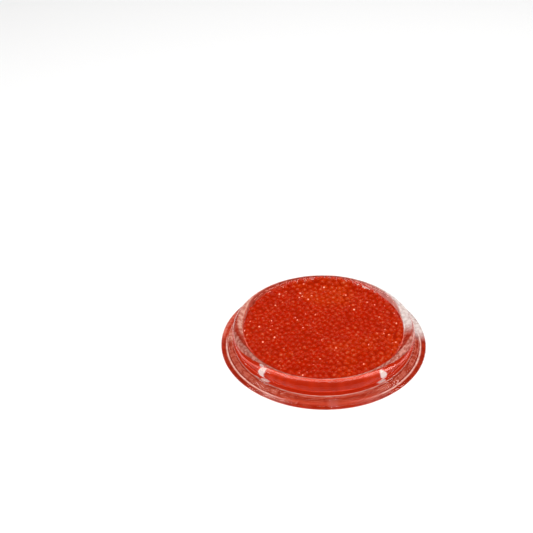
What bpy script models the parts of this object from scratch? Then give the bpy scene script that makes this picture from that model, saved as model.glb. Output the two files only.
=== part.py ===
# Salmon roe heaped in a shallow round dish of thick clear glass.
# Metres, +Z up. The origin is the centre of the face that the dish rests on.
import math
import random

import bmesh
import bpy
from mathutils import Vector
from mathutils.geometry import delaunay_2d_cdt

# The dish: a wide foot flange, a wall that ends in a full round rim, and a flat-bottomed well.
FOOT_RADIUS = 0.0560
FOOT_BEAD = 0.0011  # radius of the bead that runs round the foot's edge
GROOVE_RADIUS = 0.0530  # where the groove inside the bead is lowest
GROOVE_HEIGHT = 0.0017
STEP_RADIUS = 0.0512  # middle of the small step between groove and wall
STEP_HEIGHT = 0.0033
STEP_ROUND = 0.0009
WALL_FOOT_RADIUS = 0.0494
WALL_FOOT_FILLET = 0.0012
RIM_MID_RADIUS = 0.0465
RIM_ROUND = 0.0031
RIM_MID_HEIGHT = 0.0092
WELL_FOOT_RADIUS = 0.0427
WELL_FLOOR = 0.0032
WELL_FILLET = 0.0020
DISH_SEGMENTS = 60

# The heap: a dome a little higher at the back, its top all grains, each a faceted bump.
GAP = 0.0003  # between roe and glass
HEAP_RADIUS = RIM_MID_RADIUS - RIM_ROUND - GAP
EDGE_HEIGHT = 0.0110  # of the hollows between grains at the wall, halfway round
BACK_RISE = 0.0007
DOME = 0.0010
WAVE = 0.0003
GRAIN_COUNT = 515
GRAIN_SIZE = 0.0034
GRAIN_LEAST = 0.0026  # the least distance between two grains before they are evened out
GRAIN_RISE = 0.0012  # of a grain's top above the hollows round it
GRAIN_STRAY = 0.0003  # how much higher or lower than that a grain may lie
SHOULDER_REACH = 0.58  # share of the way from a grain's middle to the hollows
SHOULDER_RISE = 0.80  # share of the grain's rise
EVENING_ROUNDS = 6
ROE_SEED = 7

GLASS_COLOUR = (0.90, 0.93, 0.92, 1.0)
ROE_COLOUR = (0.53, 0.025, 0.006, 1.0)


def clear_scene():
    for item in list(bpy.data.objects):
        bpy.data.objects.remove(item, do_unlink=True)


def principled(name, colour, roughness, transmission=0.0):
    material = bpy.data.materials.new(name)
    material.use_nodes = True
    shader = material.node_tree.nodes["Principled BSDF"]
    shader.inputs["Base Color"].default_value = colour
    shader.inputs["Roughness"].default_value = roughness
    shader.inputs["Metallic"].default_value = 0.0
    shader.inputs["Transmission Weight"].default_value = transmission
    return material


def add_object(name, shape, material):
    """A smooth-shaded object from a bmesh, with creases kept sharp."""
    mesh = bpy.data.meshes.new(name)
    shape.to_mesh(mesh)
    shape.free()
    mesh.materials.append(material)
    mesh.shade_smooth()
    mesh.set_sharp_from_angle(angle=math.radians(50))
    bpy.context.scene.collection.objects.link(bpy.data.objects.new(name, mesh))


def arc(middle, radius, start, end, steps):
    """Points (distance from the axis, height) on an arc, angles in degrees from outwards to up."""
    points = []
    for step in range(steps + 1):
        angle = math.radians(start + (end - start) * step / steps)
        points.append((middle[0] + radius * math.cos(angle), middle[1] + radius * math.sin(angle)))
    return points


def well_fillet(radius):
    """The round between the well's wall and its floor, at this radius about the fillet's middle."""
    return arc((WELL_FOOT_RADIUS - WELL_FILLET, WELL_FLOOR + WELL_FILLET), radius, -90, 0, 2)


def dish_profile():
    """From the middle of the well's floor up its wall, over the rim, down and under the foot."""
    rim = arc((RIM_MID_RADIUS, RIM_MID_HEIGHT), RIM_ROUND, 180, 0, 8)
    wall_foot = (WALL_FOOT_RADIUS + WALL_FOOT_FILLET, STEP_HEIGHT + WALL_FOOT_FILLET)
    wall_fillet = arc(wall_foot, WALL_FOOT_FILLET, 180, 270, 2)
    step = arc((STEP_RADIUS, STEP_HEIGHT - STEP_ROUND), STEP_ROUND, 90, 0, 2)
    groove_round = GROOVE_RADIUS - STEP_RADIUS - STEP_ROUND
    groove = arc((GROOVE_RADIUS, GROOVE_HEIGHT + groove_round), groove_round, 210, 300, 2)
    bead = arc((FOOT_RADIUS - FOOT_BEAD, FOOT_BEAD), FOOT_BEAD, 110, -90, 5)
    outside = [*rim, *wall_fillet, *step, *groove, *bead]
    return [(0, WELL_FLOOR), *well_fillet(WELL_FILLET), *outside, (0, 0)]


def add_dish():
    """The profile spun once round the axis."""
    shape = bmesh.new()
    points = [shape.verts.new((radius, 0, height)) for radius, height in dish_profile()]
    edges = [shape.edges.new(pair) for pair in zip(points, points[1:])]
    bmesh.ops.spin(
        shape, geom=points + edges, cent=(0, 0, 0), axis=(0, 0, 1), angle=2 * math.pi,
        steps=DISH_SEGMENTS, use_merge=True,
    )
    bmesh.ops.remove_doubles(shape, verts=shape.verts, dist=1e-6)
    bmesh.ops.recalc_face_normals(shape, faces=shape.faces)
    add_object("glass_dish", shape, principled("clear_glass", GLASS_COLOUR, 0.03, transmission=1.0))


def on_circle(radius, turn):
    return Vector((radius * math.cos(turn), radius * math.sin(turn)))


def scattered_grains():
    """Random grain middles in the heap's circle, none closer than GRAIN_LEAST."""
    chance = random.Random(ROE_SEED)
    reach = HEAP_RADIUS - GRAIN_SIZE / 2
    grains = []
    while len(grains) < GRAIN_COUNT:
        spot = on_circle(reach * math.sqrt(chance.random()), 2 * math.pi * chance.random())
        if all((spot - other).length_squared > GRAIN_LEAST**2 for other in grains):
            grains.append(spot)
    return grains


def corners_between(grains, outside):
    """Where three grains meet, on the wall if one of them lies outside, and each grain's corners."""
    triangles = delaunay_2d_cdt(grains + outside, [], [], 0, 1e-6)[2]
    corners = []
    rings = [[] for _ in grains]
    for triangle in triangles:
        inside = [index for index in triangle if index < len(grains)]
        if inside:
            corner = sum((Vector((grains + outside)[index]) for index in triangle), Vector((0, 0))) / 3
            if len(inside) < 3:
                corner = corner.normalized() * HEAP_RADIUS
            for index in inside:
                rings[index].append(len(corners))
            corners.append(corner)
    for grain, ring in zip(grains, rings):
        ring.sort(key=lambda index: math.atan2(*(corners[index] - grain).yx))
    return corners, rings


def packed_grains():
    """The scattered grains, each moved to the middle of its corners a few times."""
    grains = scattered_grains()
    outside_radius = HEAP_RADIUS + GRAIN_SIZE / 2
    outside_count = round(2 * math.pi * outside_radius / GRAIN_SIZE)
    outside = [on_circle(outside_radius, 2 * math.pi * step / outside_count) for step in range(outside_count)]
    corners, rings = corners_between(grains, outside)
    for _ in range(EVENING_ROUNDS):
        grains = [sum((corners[index] for index in ring), Vector((0, 0))) / len(ring) for ring in rings]
        corners, rings = corners_between(grains, outside)
    return grains, corners, rings


def hollow_height(spot):
    """Height of the hollows between grains: a dome, higher at the back, with low waves."""
    reach = min(1.0, spot.length / HEAP_RADIUS)
    wave = math.sin(210 * spot.x + 1.0) * math.cos(170 * spot.y - 0.6)
    return EDGE_HEIGHT + DOME * (1 - reach**2) + BACK_RISE * spot.y / HEAP_RADIUS + WAVE * wave


def add_grain_bump(shape, grain, ring_points, stray):
    """One grain: its corners joined to a ring of shoulders, and those to its top."""
    base = hollow_height(grain)
    rise = GRAIN_RISE + stray
    top = shape.verts.new((*grain, base + rise))
    shoulders = []
    for point in ring_points:
        spot = grain.lerp(point.co.xy, SHOULDER_REACH)
        shoulders.append(shape.verts.new((*spot, base + rise * SHOULDER_RISE)))
    for near in range(len(ring_points)):
        far = (near + 1) % len(ring_points)
        shape.faces.new((ring_points[near], ring_points[far], shoulders[far], shoulders[near]))
        shape.faces.new((shoulders[near], shoulders[far], top))


def close_underside(shape):
    """Carries the heap's edge down the well's wall and closes it under the floor's middle."""
    edge = [item for item in shape.edges if item.is_boundary]
    rings = [(HEAP_RADIUS, RIM_MID_HEIGHT), *reversed(well_fillet(WELL_FILLET - GAP))]
    for radius, height in rings:
        extruded = bmesh.ops.extrude_edge_only(shape, edges=edge)["geom"]
        edge = [item for item in extruded if isinstance(item, bmesh.types.BMEdge)]
        for point in {point for item in edge for point in item.verts}:
            point.co.xy = point.co.xy.normalized() * radius
            point.co.z = height
    bmesh.ops.contextual_create(shape, geom=edge)


def add_roe():
    grains, corners, rings = packed_grains()
    chance = random.Random(ROE_SEED + 1)
    shape = bmesh.new()
    hollows = [shape.verts.new((*corner, hollow_height(corner))) for corner in corners]
    for grain, ring in zip(grains, rings):
        stray = chance.uniform(-GRAIN_STRAY, GRAIN_STRAY)
        add_grain_bump(shape, grain, [hollows[index] for index in ring], stray)
    close_underside(shape)
    bmesh.ops.recalc_face_normals(shape, faces=shape.faces)
    bmesh.ops.triangulate(shape, faces=shape.faces)
    add_object("salmon_roe", shape, principled("salmon_roe", ROE_COLOUR, 0.15))


clear_scene()
add_dish()
add_roe()
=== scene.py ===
# Salmon roe in a round dish of thick clear glass: fine surfaces, materials, light and camera.
import math
import random

import bmesh
import bpy
import numpy as np
from mathutils import Matrix, Vector, noise
from mathutils.geometry import delaunay_2d_cdt


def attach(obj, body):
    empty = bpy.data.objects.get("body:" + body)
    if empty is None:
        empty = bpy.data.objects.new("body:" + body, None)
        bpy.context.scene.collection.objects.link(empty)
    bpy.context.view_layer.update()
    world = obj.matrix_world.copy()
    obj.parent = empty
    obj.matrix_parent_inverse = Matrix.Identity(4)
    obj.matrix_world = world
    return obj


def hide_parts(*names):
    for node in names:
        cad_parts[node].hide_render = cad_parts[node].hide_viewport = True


MM = 0.001

# The dish's turned profile, as the solid has it.
FOOT_RADIUS = 56.0 * MM
FOOT_BEAD = 1.1 * MM
GROOVE_RADIUS = 53.0 * MM
GROOVE_HEIGHT = 1.7 * MM
STEP_RADIUS = 51.2 * MM
STEP_HEIGHT = 3.3 * MM
STEP_ROUND = 0.9 * MM
WALL_FOOT_RADIUS = 49.4 * MM
WALL_FOOT_FILLET = 1.2 * MM
RIM_MID_RADIUS = 46.5 * MM
RIM_ROUND = 3.1 * MM
RIM_MID_HEIGHT = 9.2 * MM
WELL_FOOT_RADIUS = 42.7 * MM
WELL_FLOOR = 3.2 * MM
WELL_FILLET = 2.0 * MM

# The glass.
DISH_SEGMENTS = 240
GLASS_IOR = 1.5
GLASS_RIPPLE = 0.07 * MM
GLASS_RIPPLE_WAVES = 110  # in a metre
FINER_RIPPLE = 2.7  # times as many waves, half as high
UNDERSIDE_HEIGHT = 0.35 * MM  # up to here the glass is its underside, with what shows in it
FLOOR_GAP = 0.1 * MM  # the air between the dish and what it stands on

# The heap of roe, with its grains where the solid has them.
CONTACT_GAP = 0.3 * MM
HEAP_RADIUS = RIM_MID_RADIUS - RIM_ROUND - CONTACT_GAP
EDGE_HEIGHT = 11.0 * MM
BACK_RISE = 0.7 * MM
DOME = 1.0 * MM
WAVE = 0.3 * MM
WAVES_ACROSS = 210  # radians in a metre
WAVES_ALONG = 170
GRAIN_COUNT = 515
GRAIN_SIZE = 3.4 * MM
GRAIN_LEAST = 2.6 * MM
GRAIN_RISE = 1.2 * MM
GRAIN_STRAY = 0.3 * MM
EVENING_ROUNDS = 6
ROE_SEED = 7

# The grains at the back that lean on the rim.
BACK_PILE = 1.2 * MM  # how much higher they lie
BACK_LEAN = 1.5 * MM  # and how far they lean out over it
BACK_PILE_TURN = math.radians(88)
BACK_PILE_SPAN = math.radians(30)
BACK_PILE_WIDTH = 4.0 * MM
HEAP_TOP = 14.0 * MM

# The roe's core, below its top layer.
CORE_SEGMENTS = 180
CORE_RINGS = 34
CORE_INTO_GLASS = 0.12 * MM  # how far it reaches into the glass, so that no air shows
CORE_BRIM_DEPTH = 0.5 * MM  # below the hollows, where it meets the glass
CORE_DEPTH = 0.1 * MM  # below the hollows elsewhere
CORE_GRIT = 0.35 * MM
CORE_GRIT_WAVES = 420  # in a metre
CORE_TOP_SLOPE = 0.3  # the least upward part of a face's normal that makes it the core's top

# The beads. Every pair is a range.
BEAD_FILL = 0.93  # the share of the room between its neighbours that a bead fills
BEAD_RADII = (1.45 * MM, 1.9 * MM)
BEAD_LEANS = (-1.1, 1.1)
BEAD_WIDTHS = (0.94, 1.06)
BEAD_HEIGHTS = (0.92, 1.03)
BEAD_DENTS = (0.0, 0.10)
LOWER_SHARE = 0.6  # of the hollows, those that show a bead of the next layer
LOWER_SIZES = (0.85, 1.0)
LOWER_DEPTH = 0.85 * MM
LOWER_SINK = 0.35  # of the bead's radius
LOWER_STRAY = 0.2 * MM

# The roe's reds. Where they come as near and far, the far one is darker: a painted shade at the cells' edges,
# where grains meet.
ROE_IOR = 1.32
BETWEEN_NEAR = (0.190, 0.0064, 0.0001, 1)
BETWEEN_FAR = (0.175, 0.0052, 0.0001, 1)
GRAIN_DARK = (0.158, 0.0036, 0.0001, 1)
GRAIN_LIGHT = (0.178, 0.0050, 0.0001, 1)
GRAIN_DROP_AND_SHEEN = (0.220, 0.032, 0.012, 1)
GRAIN_PAINTED_GLINT = (0.58, 0.260, 0.205, 1)
GRAIN_ORANGE = (0.205, 0.0140, 0.0003, 1)
AT_GLASS_NEAR = (0.33, 0.0145, 0.0015, 1)
AT_GLASS_FAR = (0.28, 0.0105, 0.0008, 1)

# The oil drop, with a painted soft sheen over it, and a small painted glint, in a bead of radius 1: their
# middle, then from where to where each fades in.
OIL_DROP_AND_GLINT_PLACE = (0.25, 0.1, 0.96)
SOFT_DROP_AND_SHEEN = (0.55, 0.1)
PAINTED_GLINT_FADE = (0.30, 0.08)

# Painted glow: emission strengths, in the roe's own colour, standing in for the light that comes through the
# roe.
CORE_GLOW = 1.0
GRAIN_GLOW = 1.9
UNDER_GLOW = 0.55  # where the roe lies on the glass
UNDER_GLOW_FADE = 1.5 * MM  # beyond the well's floor

# Painted reflections: pale patches where an air gap between the roe and the glass would mirror the light
# around: degrees around, distance from the axis and height of the middle, then half the size along the wall,
# across it and up it, in millimetres. Those at height 0 are below.
PAINTED_REFLECTIONS = (
    (-137.5, 42.7, 5.2, 2.0, 1.5, 1.1),
    (-137.0, 41.9, 3.8, 2.2, 0.8, 0.6),
    (-137.5, 38.0, 0.0, 2.3, 2.8, 1.0),
    (-143.5, 40.6, 0.0, 1.6, 0.9, 1.0),
    (-49.5, 42.7, 5.6, 1.9, 1.5, 0.8),
    (-49.0, 41.9, 3.8, 1.9, 0.8, 0.6),
    (-47.0, 37.8, 0.0, 2.5, 2.7, 1.0),
    (-162.0, 35.5, 0.0, 1.2, 1.2, 1.0),
    (28.0, 43.3, 7.2, 2.2, 1.5, 2.6),
    (97.0, 43.3, 6.8, 2.0, 1.5, 2.8),
    (163.0, 43.3, 7.6, 1.8, 1.5, 2.2),
)
REFLECTION_AT_GLASS = (0.46, 0.40, 0.38, 1)
REFLECTION_BELOW = (0.58, 0.50, 0.47, 1)
REFLECTION_RAGGED = 1.6  # how much a patch's outline strays
REFLECTION_EDGE = (1.95, 1.55)  # from where to where a patch fades in

# Painted reflection and refraction in the clear base: the roe's red, pale highlight rings and the light
# around, in bands
# by distance from the axis: start and end in millimetres, then a darker and a paler tone. One set is for the
# front half, one for the very front and one for the back half.
RED_BELOW = (0.44, 0.026, 0.005)
FRONT_BANDS = (
    (0.0, 41.0, RED_BELOW, RED_BELOW),
    (41.6, 45.1, (0.30, 0.085, 0.060), (0.47, 0.240, 0.195)),
    (45.7, 48.0, (0.21, 0.012, 0.004), (0.27, 0.030, 0.014)),
    (48.5, 49.7, (0.22, 0.018, 0.007), (0.35, 0.090, 0.060)),
    (50.2, 50.7, (0.25, 0.030, 0.014), (0.33, 0.070, 0.045)),
    (51.0, 52.1, (0.16, 0.006, 0.001), (0.20, 0.012, 0.003)),
    (52.4, 53.5, (0.47, 0.240, 0.195), (0.57, 0.380, 0.330)),
    (53.9, 56.0, (0.19, 0.009, 0.002), (0.24, 0.017, 0.006)),
)
FOREMOST_BANDS = (
    (0.0, 41.7, RED_BELOW, RED_BELOW),
    (42.3, 43.2, (0.54, 0.360, 0.310), (0.66, 0.540, 0.480)),
    (43.7, 47.7, (0.30, 0.030, 0.013), (0.38, 0.085, 0.055)),
    (48.2, 49.4, (0.20, 0.010, 0.002), (0.26, 0.026, 0.010)),
    (49.9, 52.8, (0.32, 0.026, 0.009), (0.39, 0.056, 0.028)),
    (53.3, 56.0, (0.22, 0.010, 0.002), (0.26, 0.018, 0.005)),
)
BACK_BANDS = (
    (0.0, 41.6, RED_BELOW, RED_BELOW),
    (42.2, 47.2, (0.26, 0.020, 0.008), (0.34, 0.070, 0.046)),
    (47.8, 51.2, (0.32, 0.100, 0.070), (0.48, 0.260, 0.205)),
    (51.8, 54.4, (0.28, 0.014, 0.004), (0.32, 0.040, 0.020)),
    (54.8, 56.0, (0.33, 0.045, 0.026), (0.40, 0.100, 0.070)),
)
BAND_STRAY = 0.8 * MM  # how far the bands' edges stray,
CALM_FADE = (49.0 * MM, 51.0 * MM)  # and from where to where that calms down
CALM_STRAY = 0.2  # to this share
FOREMOST_FADE = (-0.80, -0.97)  # forwards, as a share of the distance from the axis
BACK_FADE = (-3.0 * MM, 10.0 * MM)  # from the front half's bands to the back half's

# Painted light in the base at the right behind, a paler grey where the light around shows through: its tones,
# and from where to where it fades in.
LIT_SIDE_DARKER = (0.40, 0.34, 0.32, 1)
LIT_SIDE_PALER = (0.53, 0.51, 0.49, 1)
LIT_SIDE_INNER = (40.5 * MM, 41.2 * MM)
LIT_SIDE_OUTER = (45.4 * MM, 46.8 * MM)
LIT_SIDE_ACROSS = (0.12 * FOOT_RADIUS, 0.55 * FOOT_RADIUS)
LIT_SIDE_WITHIN = 0.25  # its share up to the outer fade
LIT_SIDE_MOST = 0.93

# The camera, as far from the dish and as steep as the photograph's, for a square frame.
CAMERA_PLACE = Vector((-0.0303, -0.5324, 0.4189))
CAMERA_PITCH = 34.58
CAMERA_ROLL = -1.17
CAMERA_LENS = 83.1
CAMERA_SENSOR = 36

# The lamps, which all point at the dish: name, place, width and height in metres, and power.
LAMPS = (
    ("overhead", (0.05, 0.25, 1.1), (1.1, 0.9), 13),
    ("spark", (0.12, -0.25, 1.2), (0.1, 0.1), 3),
    ("left", (-0.85, -0.23, 0.38), (0.22, 0.55), 3),
    ("right", (0.87, -0.16, 0.38), (0.22, 0.55), 3),
)


def arc(middle, radius, start, end, steps):
    """Points (distance from the axis, height) on an arc, angles in degrees from outwards to up."""
    points = []
    for step in range(steps + 1):
        angle = math.radians(start + (end - start) * step / steps)
        points.append((middle[0] + radius * math.cos(angle), middle[1] + radius * math.sin(angle)))
    return points


def line(start, end, steps):
    """Points between two points, without either of them."""
    return [
        (start[0] + (end[0] - start[0]) * step / steps, start[1] + (end[1] - start[1]) * step / steps)
        for step in range(1, steps)
    ]


def dish_profile():
    """From the middle of the well's floor up its wall, over the rim, down and under the foot."""
    well = arc((WELL_FOOT_RADIUS - WELL_FILLET, WELL_FLOOR + WELL_FILLET), WELL_FILLET, -90, 0, 8)
    rim = arc((RIM_MID_RADIUS, RIM_MID_HEIGHT), RIM_ROUND, 180, 0, 28)
    wall_foot = (WALL_FOOT_RADIUS + WALL_FOOT_FILLET, STEP_HEIGHT + WALL_FOOT_FILLET)
    wall_fillet = arc(wall_foot, WALL_FOOT_FILLET, 180, 270, 8)
    step = arc((STEP_RADIUS, STEP_HEIGHT - STEP_ROUND), STEP_ROUND, 90, 0, 7)
    groove_round = GROOVE_RADIUS - STEP_RADIUS - STEP_ROUND
    groove = arc((GROOVE_RADIUS, GROOVE_HEIGHT + groove_round), groove_round, 190, 300, 8)
    bead = arc((FOOT_RADIUS - FOOT_BEAD, FOOT_BEAD), FOOT_BEAD, 110, -90, 14)
    centre = (0.0, WELL_FLOOR)
    under = (0.0, 0.0)
    return [
        centre, *line(centre, well[0], 16), *well, *line(well[-1], rim[0], 8), *rim,
        *line(rim[-1], wall_fillet[0], 10), *wall_fillet, *step, *groove, *bead,
        *line(bead[-1], under, 16), under,
    ]


def ring_mesh(name, rings):
    """A closed mesh through rings of points, where a ring of one point closes an end."""
    shape = bmesh.new()
    made = [[shape.verts.new(point) for point in ring] for ring in rings]
    for near, far in zip(made, made[1:]):
        count = max(len(near), len(far))
        for index in range(count):
            after = (index + 1) % count
            corners = [
                near[index % len(near)],
                near[after % len(near)],
                far[after % len(far)],
                far[index % len(far)],
            ]
            # Next to a ring of one point two corners are the same, and one of them is left out.
            shape.faces.new(list(dict.fromkeys(corners)))
    bmesh.ops.recalc_face_normals(shape, faces=shape.faces)
    mesh = bpy.data.meshes.new(name)
    shape.to_mesh(mesh)
    shape.free()
    mesh.shade_smooth()
    return mesh


def add_object(name, mesh, material):
    item = bpy.data.objects.new(name, mesh)
    mesh.materials.append(material)
    bpy.context.scene.collection.objects.link(item)
    return item


def rippled(radius, height, turn):
    """A point of the glass, with the slight waviness of pressed glass away from the base and floor."""
    spot = Vector((radius * math.cos(turn), radius * math.sin(turn), height))
    if radius < WELL_FOOT_RADIUS or height < GROOVE_HEIGHT:
        return spot
    wave = noise.noise(spot * GLASS_RIPPLE_WAVES)
    wave += 0.5 * noise.noise(spot * GLASS_RIPPLE_WAVES * FINER_RIPPLE)
    outward = Vector((radius - RIM_MID_RADIUS, height - RIM_MID_HEIGHT)).normalized()
    radius += GLASS_RIPPLE * wave * outward.x
    height += GLASS_RIPPLE * wave * max(0.0, outward.y)
    return Vector((radius * math.cos(turn), radius * math.sin(turn), height))


def dish_mesh():
    """The dish, with the second material on its underside."""
    rings = []
    for radius, height in dish_profile():
        count = DISH_SEGMENTS if radius > 0 else 1
        turns = [2 * math.pi * step / DISH_SEGMENTS for step in range(count)]
        rings.append([rippled(radius, height, turn) for turn in turns])
    mesh = ring_mesh("glass_dish_fine", rings)
    for face in mesh.polygons:
        if face.center.z < UNDERSIDE_HEIGHT:
            face.material_index = 1
    return mesh


def on_circle(radius, turn):
    return Vector((radius * math.cos(turn), radius * math.sin(turn)))


def scattered_grains():
    """Random grain middles in the heap's circle, none closer than GRAIN_LEAST."""
    chance = random.Random(ROE_SEED)
    reach = HEAP_RADIUS - GRAIN_SIZE / 2
    grains = []
    while len(grains) < GRAIN_COUNT:
        spot = on_circle(reach * math.sqrt(chance.random()), 2 * math.pi * chance.random())
        if all((spot - other).length_squared > GRAIN_LEAST**2 for other in grains):
            grains.append(spot)
    return grains


def corners_between(grains, outside):
    """Where three grains meet, on the wall if one of them lies outside, and each grain's corners."""
    triangles = delaunay_2d_cdt(grains + outside, [], [], 0, 1e-6)[2]
    corners = []
    rings = [[] for _ in grains]
    for triangle in triangles:
        inside = [index for index in triangle if index < len(grains)]
        if inside:
            corner = sum((Vector((grains + outside)[index]) for index in triangle), Vector((0, 0))) / 3
            if len(inside) < 3:
                corner = corner.normalized() * HEAP_RADIUS
            for index in inside:
                rings[index].append(len(corners))
            corners.append(corner)
    for grain, ring in zip(grains, rings):
        ring.sort(key=lambda index: math.atan2(*(corners[index] - grain).yx))
    return corners, rings


def packed_grains():
    """The grains that show, each where the solid has it, and the hollows between them."""
    grains = scattered_grains()
    outside_radius = HEAP_RADIUS + GRAIN_SIZE / 2
    outside_count = round(2 * math.pi * outside_radius / GRAIN_SIZE)
    turns = [2 * math.pi * step / outside_count for step in range(outside_count)]
    outside = [on_circle(outside_radius, turn) for turn in turns]
    corners, rings = corners_between(grains, outside)
    for _ in range(EVENING_ROUNDS):
        grains = [sum((corners[index] for index in ring), Vector((0, 0))) / len(ring) for ring in rings]
        corners, rings = corners_between(grains, outside)
    return grains, corners, rings


def hollow_height(spot):
    """Height of the hollows between grains: a dome, higher at the back, with low waves."""
    reach = min(1.0, spot.length / HEAP_RADIUS)
    wave = math.sin(WAVES_ACROSS * spot.x + 1.0) * math.cos(WAVES_ALONG * spot.y - 0.6)
    return EDGE_HEIGHT + DOME * (1 - reach**2) + BACK_RISE * spot.y / HEAP_RADIUS + WAVE * wave


def pile_share(spot):
    """How much a grain belongs to those at the back that lean on the rim, 0 to 1."""
    off = (math.atan2(spot.y, spot.x) - BACK_PILE_TURN + math.pi) % (2 * math.pi) - math.pi
    inward = (HEAP_RADIUS - GRAIN_SIZE / 2 - spot.length) / BACK_PILE_WIDTH
    return math.exp(-((off / BACK_PILE_SPAN) ** 4)) * math.exp(-(max(0.0, inward) ** 2))


def core_mesh():
    """The roe below its top layer: against the glass all round, and a little below the hollows."""
    foot_middle = (WELL_FOOT_RADIUS - WELL_FILLET, WELL_FLOOR + WELL_FILLET)
    foot = arc(foot_middle, WELL_FILLET + CORE_INTO_GLASS, -90, 0, 6)
    wall_radius = RIM_MID_RADIUS - RIM_ROUND + CORE_INTO_GLASS
    wall = [*line(foot[-1], (wall_radius, RIM_MID_HEIGHT), 6), (wall_radius, RIM_MID_HEIGHT)]
    rings = [[Vector((0, 0, WELL_FLOOR - CORE_INTO_GLASS))]]
    turns = [2 * math.pi * step / CORE_SEGMENTS for step in range(CORE_SEGMENTS)]
    for radius, height in [*foot, *wall]:
        rings.append([Vector((radius * math.cos(turn), radius * math.sin(turn), height)) for turn in turns])
    brim = [on_circle(wall_radius, turn) for turn in turns]
    rings.append([Vector((*spot, hollow_height(spot) - CORE_BRIM_DEPTH)) for spot in brim])
    for step in range(CORE_RINGS):
        reach = wall_radius * (1 - step / CORE_RINGS)
        ring = []
        for turn in turns:
            spot = on_circle(reach, turn)
            grit = CORE_GRIT * noise.noise(Vector((spot.x, spot.y, 0)) * CORE_GRIT_WAVES)
            ring.append(Vector((*spot, hollow_height(spot) - CORE_DEPTH + grit)))
        rings.append(ring)
    rings.append([Vector((0, 0, hollow_height(Vector((0, 0))) - CORE_DEPTH))])
    mesh = ring_mesh("roe_core", rings)
    for face in mesh.polygons:
        if face.center.z > RIM_MID_HEIGHT and face.normal.z > CORE_TOP_SLOPE:
            face.material_index = 1
    return mesh


def grain_form(subdivisions):
    """Points and triangles of a round bead of radius 1."""
    shape = bmesh.new()
    bmesh.ops.create_icosphere(shape, subdivisions=subdivisions, radius=1.0)
    shape.verts.ensure_lookup_table()
    points = np.array([vertex.co[:] for vertex in shape.verts])
    faces = np.array([[vertex.index for vertex in face.verts] for face in shape.faces])
    shape.free()
    return points, faces


def grains_mesh(name, beads, subdivisions, seed):
    """All beads of one kind in one mesh. Each is (middle, radius), slightly uneven and turned at random.

    Every point carries its bead's tint, 0 to 1, and its own place on a bead of radius 1.
    """
    chance = random.Random(seed)
    points, faces = grain_form(subdivisions)
    all_points = []
    all_faces = []
    tints = []
    for number, (middle, radius) in enumerate(beads):
        turn = Matrix.Rotation(chance.uniform(0, 2 * math.pi), 3, Vector((0, 0, 1)))
        lean = Matrix.Rotation(chance.uniform(*BEAD_LEANS), 3, Vector((1, 0, 0)))
        widths = [chance.uniform(*BEAD_WIDTHS), chance.uniform(*BEAD_WIDTHS)]
        scale = np.array([*widths, chance.uniform(*BEAD_HEIGHTS)])
        dent_at = np.array([chance.uniform(-1, 1) for _ in range(3)])
        dent_at /= np.linalg.norm(dent_at)
        dent = 1 - chance.uniform(*BEAD_DENTS) * np.clip(points @ dent_at, 0, 1) ** 3
        placed = (points * dent[:, None] * scale * radius) @ np.array(turn @ lean).T + np.array(middle)
        all_faces.append(faces + number * len(points))
        all_points.append(placed)
        tints.append(np.full(len(points), chance.random()))
    mesh = bpy.data.meshes.new(name)
    mesh.from_pydata(np.concatenate(all_points).tolist(), [], np.concatenate(all_faces).tolist())
    tint = mesh.attributes.new("tint", "FLOAT", "POINT")
    tint.data.foreach_set("value", np.concatenate(tints).astype(np.float32))
    bead = mesh.attributes.new("bead", "FLOAT_VECTOR", "POINT")
    bead.data.foreach_set("vector", np.tile(points, (len(beads), 1)).astype(np.float32).ravel())
    mesh.shade_smooth()
    mesh.update()
    return mesh


def top_beads(grains, corners, rings):
    """The top layer's beads: each fills the room that its corners leave it."""
    chance = random.Random(ROE_SEED + 1)
    least, most = BEAD_RADII
    beads = []
    for grain, ring in zip(grains, rings):
        stray = chance.uniform(-GRAIN_STRAY, GRAIN_STRAY)
        room = sum((corners[index] - grain).length for index in ring) / len(ring)
        radius = min(max(BEAD_FILL * room, least), most)
        share = pile_share(grain)
        top = min(hollow_height(grain) + BACK_PILE * share + GRAIN_RISE + stray, HEAP_TOP)
        spot = grain + grain.normalized() * BACK_LEAN * share
        beads.append((Vector((*spot, top - radius)), radius))
    return beads


def lower_beads(corners):
    """Beads of the next layer, which show in the hollows between those on top."""
    chance = random.Random(ROE_SEED + 2)
    beads = []
    for corner in corners:
        radius = GRAIN_SIZE / 2 * chance.uniform(*LOWER_SIZES)
        spot = corner * min(1.0, (HEAP_RADIUS - radius) / max(corner.length, 1 * MM))
        stray = chance.uniform(-LOWER_STRAY, LOWER_STRAY)
        height = hollow_height(spot) - LOWER_DEPTH - radius * LOWER_SINK + stray
        if chance.random() < LOWER_SHARE:
            beads.append((Vector((*spot, height)), radius))
    return beads


def shader_material(name):
    material = bpy.data.materials.new(name)
    material.use_nodes = True
    return material, material.node_tree, material.node_tree.nodes["Principled BSDF"]


def add_node(tree, kind, **settings):
    node = tree.nodes.new(kind)
    for key, value in settings.items():
        setattr(node, key, value)
    return node


def set_values(node, values):
    """Sets a node's inputs to constants, by the inputs' names."""
    for name, value in values.items():
        node.inputs[name].default_value = value


def object_spot(tree):
    """The place that is being shaded, in the object's own coordinates."""
    return add_node(tree, "ShaderNodeTexCoord").outputs["Object"]


def vector_math(tree, operation, first, second=None):
    """A vector node's result. The second vector is a constant, and a length or a distance is a value."""
    node = add_node(tree, "ShaderNodeVectorMath", operation=operation)
    tree.links.new(first, node.inputs[0])
    if second is not None:
        node.inputs[1].default_value = second
    return node.outputs["Value" if operation in ("LENGTH", "DISTANCE") else "Vector"]


def arithmetic(tree, operation, *values):
    """A math node's result. A value is a constant or another node's output."""
    node = add_node(tree, "ShaderNodeMath", operation=operation)
    for socket, value in zip(node.inputs, values):
        if isinstance(value, float):
            socket.default_value = value
        else:
            tree.links.new(value, socket)
    return node.outputs["Value"]


def product(tree, first, *others):
    for other in others:
        first = arithmetic(tree, "MULTIPLY", first, other)
    return first


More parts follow.
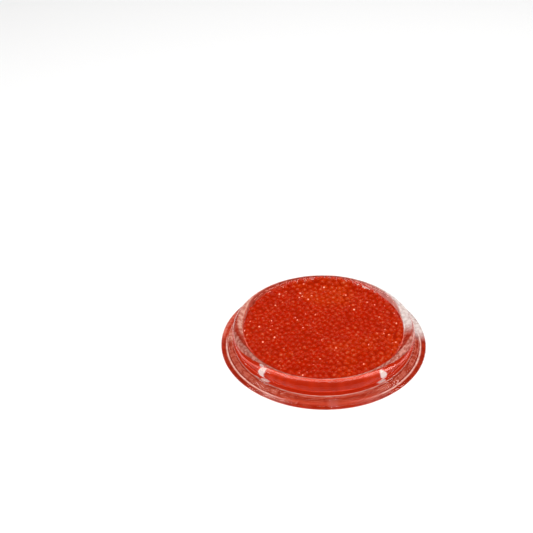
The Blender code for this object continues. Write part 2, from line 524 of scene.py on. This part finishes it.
def ranged(tree, value, low, high, to_low=0.0, to_high=1.0, smooth=True):
    """A value between low and high taken to one between to_low and to_high."""
    node = add_node(tree, "ShaderNodeMapRange", interpolation_type="SMOOTHSTEP" if smooth else "LINEAR")
    tree.links.new(value, node.inputs["Value"])
    set_values(node, {"From Min": low, "From Max": high, "To Min": to_low, "To Max": to_high})
    return node.outputs["Result"]


def mixed(tree, factor, first, second):
    """Two colours mixed by a factor. A colour is a constant or another node's output."""
    node = add_node(tree, "ShaderNodeMix", data_type="RGBA")
    tree.links.new(factor, node.inputs["Factor"])
    for socket, colour in ((node.inputs["A"], first), (node.inputs["B"], second)):
        if isinstance(colour, tuple):
            socket.default_value = colour
        else:
            tree.links.new(colour, socket)
    return node.outputs["Result"]


def noise_field(tree, spot, scale, detail):
    """Noise between 0 and 1, with scale as its cells in a metre."""
    node = add_node(tree, "ShaderNodeTexNoise")
    set_values(node, {"Scale": scale, "Detail": detail})
    tree.links.new(spot, node.inputs["Vector"])
    return node.outputs["Fac"]


def bumped(tree, shader, height, strength, distance, invert=False):
    bump = add_node(tree, "ShaderNodeBump", invert=invert)
    set_values(bump, {"Strength": strength, "Distance": distance})
    tree.links.new(height, bump.inputs["Height"])
    tree.links.new(bump.outputs["Normal"], shader.inputs["Normal"])


def coloured(tree, shader, colour):
    """Gives the surface and its painted glow, an emission standing in for the light that comes through it,
    the same colour.
    """
    tree.links.new(colour, shader.inputs["Base Color"])
    tree.links.new(colour, shader.inputs["Emission Color"])


def roe_material():
    """Moist translucent roe: each grain has its own tint, in some the lighter oil drop shows under a painted
    soft sheen, and a few carry a painted glint.
    """
    material, tree, shader = shader_material("roe_grains")
    spot = object_spot(tree)
    tint = add_node(tree, "ShaderNodeAttribute", attribute_name="tint").outputs["Fac"]
    bead = add_node(tree, "ShaderNodeAttribute", attribute_name="bead").outputs["Vector"]

    red = mixed(tree, tint, GRAIN_DARK, GRAIN_LIGHT)
    orange = ranged(tree, noise_field(tree, spot, scale=34, detail=2), 0.54, 0.74, to_high=0.55)
    red = mixed(tree, orange, red, GRAIN_ORANGE)

    # The oil drop shows softly in grains with a higher tint, in patches of the heap, with a painted soft
    # sheen over it, and a few grains carry a small painted glint, a highlight put into the colour.
    off_drop_and_glint = vector_math(tree, "DISTANCE", bead, OIL_DROP_AND_GLINT_PLACE)
    patches = ranged(tree, noise_field(tree, spot, scale=55, detail=2), 0.36, 0.60)
    soft_drop_and_sheen = product(tree, ranged(tree, off_drop_and_glint, *SOFT_DROP_AND_SHEEN), ranged(tree, tint, 0.1, 0.8), patches)
    red = mixed(tree, soft_drop_and_sheen, red, GRAIN_DROP_AND_SHEEN)
    painted_glint = product(tree, ranged(tree, off_drop_and_glint, *PAINTED_GLINT_FADE), ranged(tree, tint, 0.84, 0.98))
    red = mixed(tree, painted_glint, red, GRAIN_PAINTED_GLINT)

    coloured(tree, shader, red)
    set_values(shader, {
        "Emission Strength": GRAIN_GLOW,
        "Subsurface Weight": 1.0,
        "Subsurface Radius": (1.0, 0.10, 0.03),
        "Subsurface Scale": 3.0 * MM,
        "IOR": ROE_IOR,
        "Specular Tint": (1.0, 0.66, 0.36, 1),
    })
    tree.links.new(ranged(tree, tint, 0, 1, to_low=0.28, to_high=0.12), shader.inputs["Roughness"])
    bumped(tree, shader, noise_field(tree, spot, scale=650, detail=3), strength=0.15, distance=0.1 * MM)
    return material


def painted_reflection_patch(tree, spot, warp, red, reflection_tone, patch):
    """Lays one painted reflection patch over the colour of the roe or of the base below it."""
    turn = math.radians(patch[0])
    radius, height, along, across, up = (length * MM for length in patch[1:])
    away = vector_math(tree, "SUBTRACT", spot, (*on_circle(radius, turn), height))
    turned = add_node(tree, "ShaderNodeVectorRotate", rotation_type="Z_AXIS")
    set_values(turned, {"Angle": -turn})
    tree.links.new(away, turned.inputs["Vector"])
    scaled = vector_math(tree, "MULTIPLY", turned.outputs["Vector"], (1 / across, 1 / along, 1 / up))
    reach = vector_math(tree, "LENGTH", scaled)
    ragged = arithmetic(tree, "MULTIPLY_ADD", warp, REFLECTION_RAGGED, reach)
    return mixed(tree, ranged(tree, ragged, *REFLECTION_EDGE), red, reflection_tone)


def with_painted_reflections(tree, spot, red, below):
    """The colour with every painted reflection patch in the base (below) or at the wall laid over it."""
    warp = noise_field(tree, spot, scale=230, detail=2)
    reflection_tone = REFLECTION_BELOW if below else REFLECTION_AT_GLASS
    for patch in PAINTED_REFLECTIONS:
        if (patch[2] == 0.0) == below:
            red = painted_reflection_patch(tree, spot, warp, red, reflection_tone, patch)
    return red


def roe_cells(name, near, far, bump):
    """Roe that shows as one surface, with cells as large as the grains in two reds, darker towards the cells'
    edges as a painted shade where grains meet.
    """
    material, tree, shader = shader_material(name)
    spot = object_spot(tree)
    cells = add_node(tree, "ShaderNodeTexVoronoi", feature="SMOOTH_F1")
    set_values(cells, {"Scale": 290, "Smoothness": 0.35})
    tree.links.new(spot, cells.inputs["Vector"])
    off_middle = ranged(tree, cells.outputs["Distance"], 0.25, 0.75)
    red = mixed(tree, off_middle, near, far)
    set_values(shader, {"Emission Strength": CORE_GLOW})
    bumped(tree, shader, off_middle, strength=bump, distance=0.4 * MM, invert=True)
    return material, tree, shader, spot, red


def between_material():
    """Roe that shows between the grains."""
    material, tree, shader, _, red = roe_cells("roe_between", BETWEEN_NEAR, BETWEEN_FAR, bump=0.5)
    coloured(tree, shader, red)
    set_values(shader, {"Roughness": 0.5, "IOR": ROE_IOR, "Specular IOR Level": 0.03})
    return material


def at_glass_material():
    """Roe against the glass, red but for its painted reflection patches."""
    material, tree, shader, spot, red = roe_cells("roe_at_glass", AT_GLASS_NEAR, AT_GLASS_FAR, bump=0.06)
    coloured(tree, shader, with_painted_reflections(tree, spot, red, below=False))
    set_values(shader, {"Roughness": 0.25, "IOR": ROE_IOR / GLASS_IOR})
    return material


def glass_material():
    """Clear pressed glass, very slightly wavy, which mirrors less than real glass does."""
    material, tree, shader = shader_material("clear_glass")
    set_values(shader, {
        "Base Color": (0.97, 0.985, 0.98, 1),
        "Transmission Weight": 1.0,
        "Specular Tint": (0.24, 0.24, 0.24, 1),
        "IOR": GLASS_IOR,
    })
    waves = noise_field(tree, object_spot(tree), scale=160, detail=2)
    tree.links.new(ranged(tree, waves, 0, 1, to_high=0.03, smooth=False), shader.inputs["Roughness"])
    bumped(tree, shader, waves, strength=0.12, distance=0.25 * MM)
    return material


def band_ramp(tree, share, bands, tone):
    """A ramp over the distance from the axis, in the bands' darker (2) or paler (3) tone."""
    ramp = add_node(tree, "ShaderNodeValToRGB")
    stops = ramp.color_ramp.elements
    while len(stops) < 2 * len(bands):
        stops.new(0.5)
    edges = [(radius * MM, band[tone]) for band in bands for radius in band[:2]]
    for stop, (radius, colour) in zip(stops, edges):
        stop.position = radius / FOOT_RADIUS
        stop.color = (*colour, 1)
    tree.links.new(share, ramp.inputs["Fac"])
    return ramp.outputs["Color"]


def banded(tree, share, paler, bands):
    """One set of bands, mottled between their two tones."""
    return mixed(tree, paler, band_ramp(tree, share, bands, 2), band_ramp(tree, share, bands, 3))


def base_colour(tree, spot, radius):
    """The red of the roe and the light around, painted in the base as reflection and refraction."""
    parts = add_node(tree, "ShaderNodeSeparateXYZ")
    tree.links.new(spot, parts.inputs["Vector"])
    stray_share = BAND_STRAY / FOOT_RADIUS
    uneven = noise_field(tree, spot, scale=330, detail=3)
    stray = ranged(tree, uneven, 0, 1, -stray_share, stray_share, smooth=False)
    calmer = ranged(tree, radius, *CALM_FADE, to_low=1.0, to_high=CALM_STRAY)
    share = arithmetic(tree, "MULTIPLY_ADD", radius, 1 / FOOT_RADIUS, product(tree, stray, calmer))
    paler = ranged(tree, noise_field(tree, spot, scale=430, detail=6), 0.42, 0.58)

    front = banded(tree, share, paler, FRONT_BANDS)
    foremost = banded(tree, share, paler, FOREMOST_BANDS)
    forward = arithmetic(tree, "DIVIDE", parts.outputs["Y"], radius)
    front = mixed(tree, ranged(tree, forward, *FOREMOST_FADE), front, foremost)

    back = banded(tree, share, paler, BACK_BANDS)
    # Painted light: the base turns paler grey towards the right behind.
    inner = ranged(tree, radius, *LIT_SIDE_INNER)
    outer = ranged(tree, radius, *LIT_SIDE_OUTER, to_low=LIT_SIDE_WITHIN)
    rightward = ranged(tree, parts.outputs["X"], *LIT_SIDE_ACROSS, to_high=LIT_SIDE_MOST)
    lit_side = mixed(tree, paler, LIT_SIDE_DARKER, LIT_SIDE_PALER)
    back = mixed(tree, product(tree, inner, outer, rightward), back, lit_side)

    colour = mixed(tree, ranged(tree, parts.outputs["Y"], *BACK_FADE), front, back)
    return with_painted_reflections(tree, spot, colour, below=True)


def base_material():
    """The dish's underside, painted with what a clear base would show by reflection and refraction, so it
    mirrors nothing itself, and with a painted glow under the roe.
    """
    material, tree, shader = shader_material("glass_base_painted_reflections")
    spot = object_spot(tree)
    radius = vector_math(tree, "LENGTH", vector_math(tree, "MULTIPLY", spot, (1, 1, 0)))
    coloured(tree, shader, base_colour(tree, spot, radius))
    faded = WELL_FOOT_RADIUS + UNDER_GLOW_FADE
    glow = ranged(tree, radius, WELL_FOOT_RADIUS, faded, UNDER_GLOW, 0.0, smooth=False)
    tree.links.new(glow, shader.inputs["Emission Strength"])
    set_values(shader, {"IOR": GLASS_IOR, "Specular IOR Level": 0.0, "Roughness": 0.05})
    return material


def floor_material():
    material, _, shader = shader_material("floor")
    set_values(shader, {"Base Color": (0.86, 0.86, 0.86, 1), "Roughness": 0.9, "Specular IOR Level": 0.0})
    return material


def add_floor():
    shape = bmesh.new()
    bmesh.ops.create_grid(shape, x_segments=1, y_segments=1, size=3.0)
    mesh = bpy.data.meshes.new("floor")
    shape.to_mesh(mesh)
    shape.free()
    floor = add_object("floor", mesh, floor_material())
    floor.location.z = -FLOOR_GAP


def add_lamp(name, place, size, power):
    lamp = bpy.data.lights.new(name, "AREA")
    lamp.shape = "RECTANGLE"
    lamp.size, lamp.size_y = size
    lamp.energy = power
    item = bpy.data.objects.new(name, lamp)
    item.location = place
    item.rotation_euler = Vector(place).to_track_quat("Z", "Y").to_euler()
    bpy.context.scene.collection.objects.link(item)


def add_light():
    world = bpy.data.worlds.new("studio")
    world.use_nodes = True
    set_values(world.node_tree.nodes["Background"], {"Color": (1.0, 0.97, 0.93, 1), "Strength": 0.07})
    bpy.context.scene.world = world
    for lamp in LAMPS:
        add_lamp(*lamp)


def add_camera():
    camera = bpy.data.cameras.new("camera")
    camera.lens = CAMERA_LENS
    camera.sensor_width = CAMERA_SENSOR
    item = bpy.data.objects.new("camera", camera)
    pitch = Matrix.Rotation(math.radians(90 - CAMERA_PITCH), 4, "X")
    roll = Matrix.Rotation(math.radians(CAMERA_ROLL), 4, "Z")
    item.matrix_world = Matrix.Translation(CAMERA_PLACE) @ pitch @ roll
    bpy.context.scene.collection.objects.link(item)
    bpy.context.scene.camera = item


def place(item, node, slot):
    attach(item, "root")
    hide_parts(node)


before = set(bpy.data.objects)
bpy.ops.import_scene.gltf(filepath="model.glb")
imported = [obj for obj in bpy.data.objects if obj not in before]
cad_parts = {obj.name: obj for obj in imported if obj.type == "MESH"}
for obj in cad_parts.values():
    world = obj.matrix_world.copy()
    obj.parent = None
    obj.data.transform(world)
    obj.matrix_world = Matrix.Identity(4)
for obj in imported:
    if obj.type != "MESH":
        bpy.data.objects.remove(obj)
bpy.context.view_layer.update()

add_camera()
add_light()
add_floor()
bpy.context.scene.view_settings.view_transform = "Standard"

# The glass throws no shadow, so the lamps reach the roe and the floor through it.
dish = add_object("glass_dish_fine", dish_mesh(), glass_material())
dish.data.materials.append(base_material())
dish.visible_shadow = False
place(dish, "glass_dish", "clear_glass")

grains, corners, rings = packed_grains()
grain_finish = roe_material()
core = add_object("roe_core", core_mesh(), at_glass_material())
core.data.materials.append(between_material())
place(core, "salmon_roe", "roe")
top = grains_mesh("roe_top_grains", top_beads(grains, corners, rings), 3, ROE_SEED + 3)
place(add_object("roe_top_grains", top, grain_finish), "salmon_roe", "roe")
lower = grains_mesh("roe_lower_grains", lower_beads(corners), 2, ROE_SEED + 4)
place(add_object("roe_lower_grains", lower, grain_finish), "salmon_roe", "roe")
